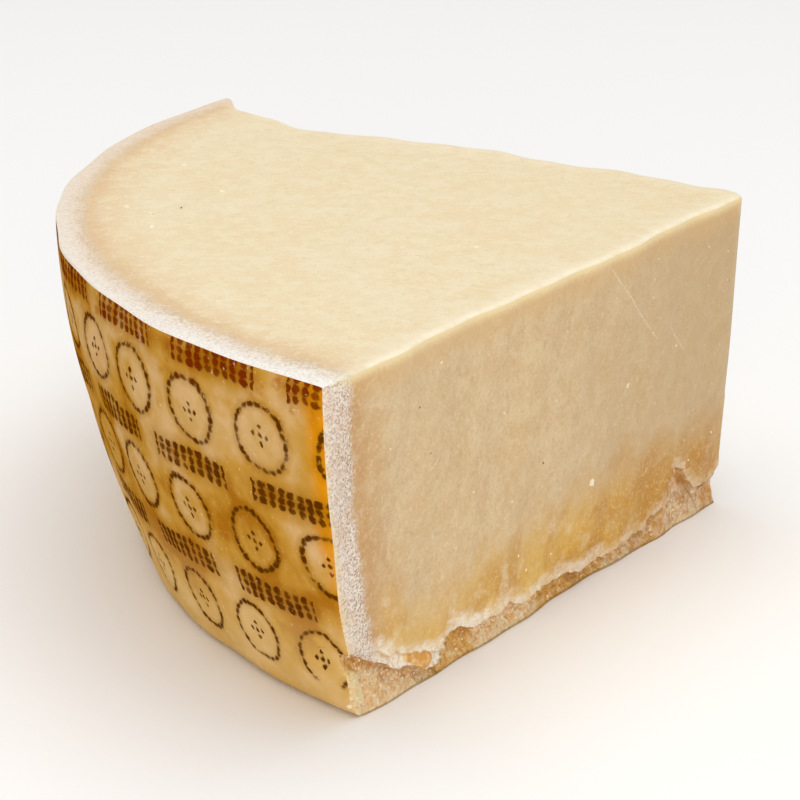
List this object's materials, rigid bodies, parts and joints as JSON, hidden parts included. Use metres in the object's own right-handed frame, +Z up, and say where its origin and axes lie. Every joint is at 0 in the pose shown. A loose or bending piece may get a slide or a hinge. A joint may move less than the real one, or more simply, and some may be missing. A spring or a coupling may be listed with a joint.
{
  "type": "wedge of hard aged cheese",
  "caption": "Wedge of a hard aged cheese wheel: a flat top cut, two upright cuts meeting in a thin edge, a curved rind, and a flat foot with a ragged torn ledge above it.",
  "frame": {"origin": "middle of the bounding box on the surface that the wedge stands on", "axes": "+Z up through the level top cut, +X towards the thin upright edge where the two cuts meet, -X towards the curved rind, -Y towards the smooth front cut"},
  "size_m": [0.2094, 0.2999, 0.104],
  "materials": {
    "cheese": "pale straw cheese paste, satin and finely grained, with a whitish rind band in section and a waxy, amber-stained rind with dotted prick marks"
  },
  "bodies": {
    "root": {"cheese_wedge": "cheese"}
  },
  "joints": []
}
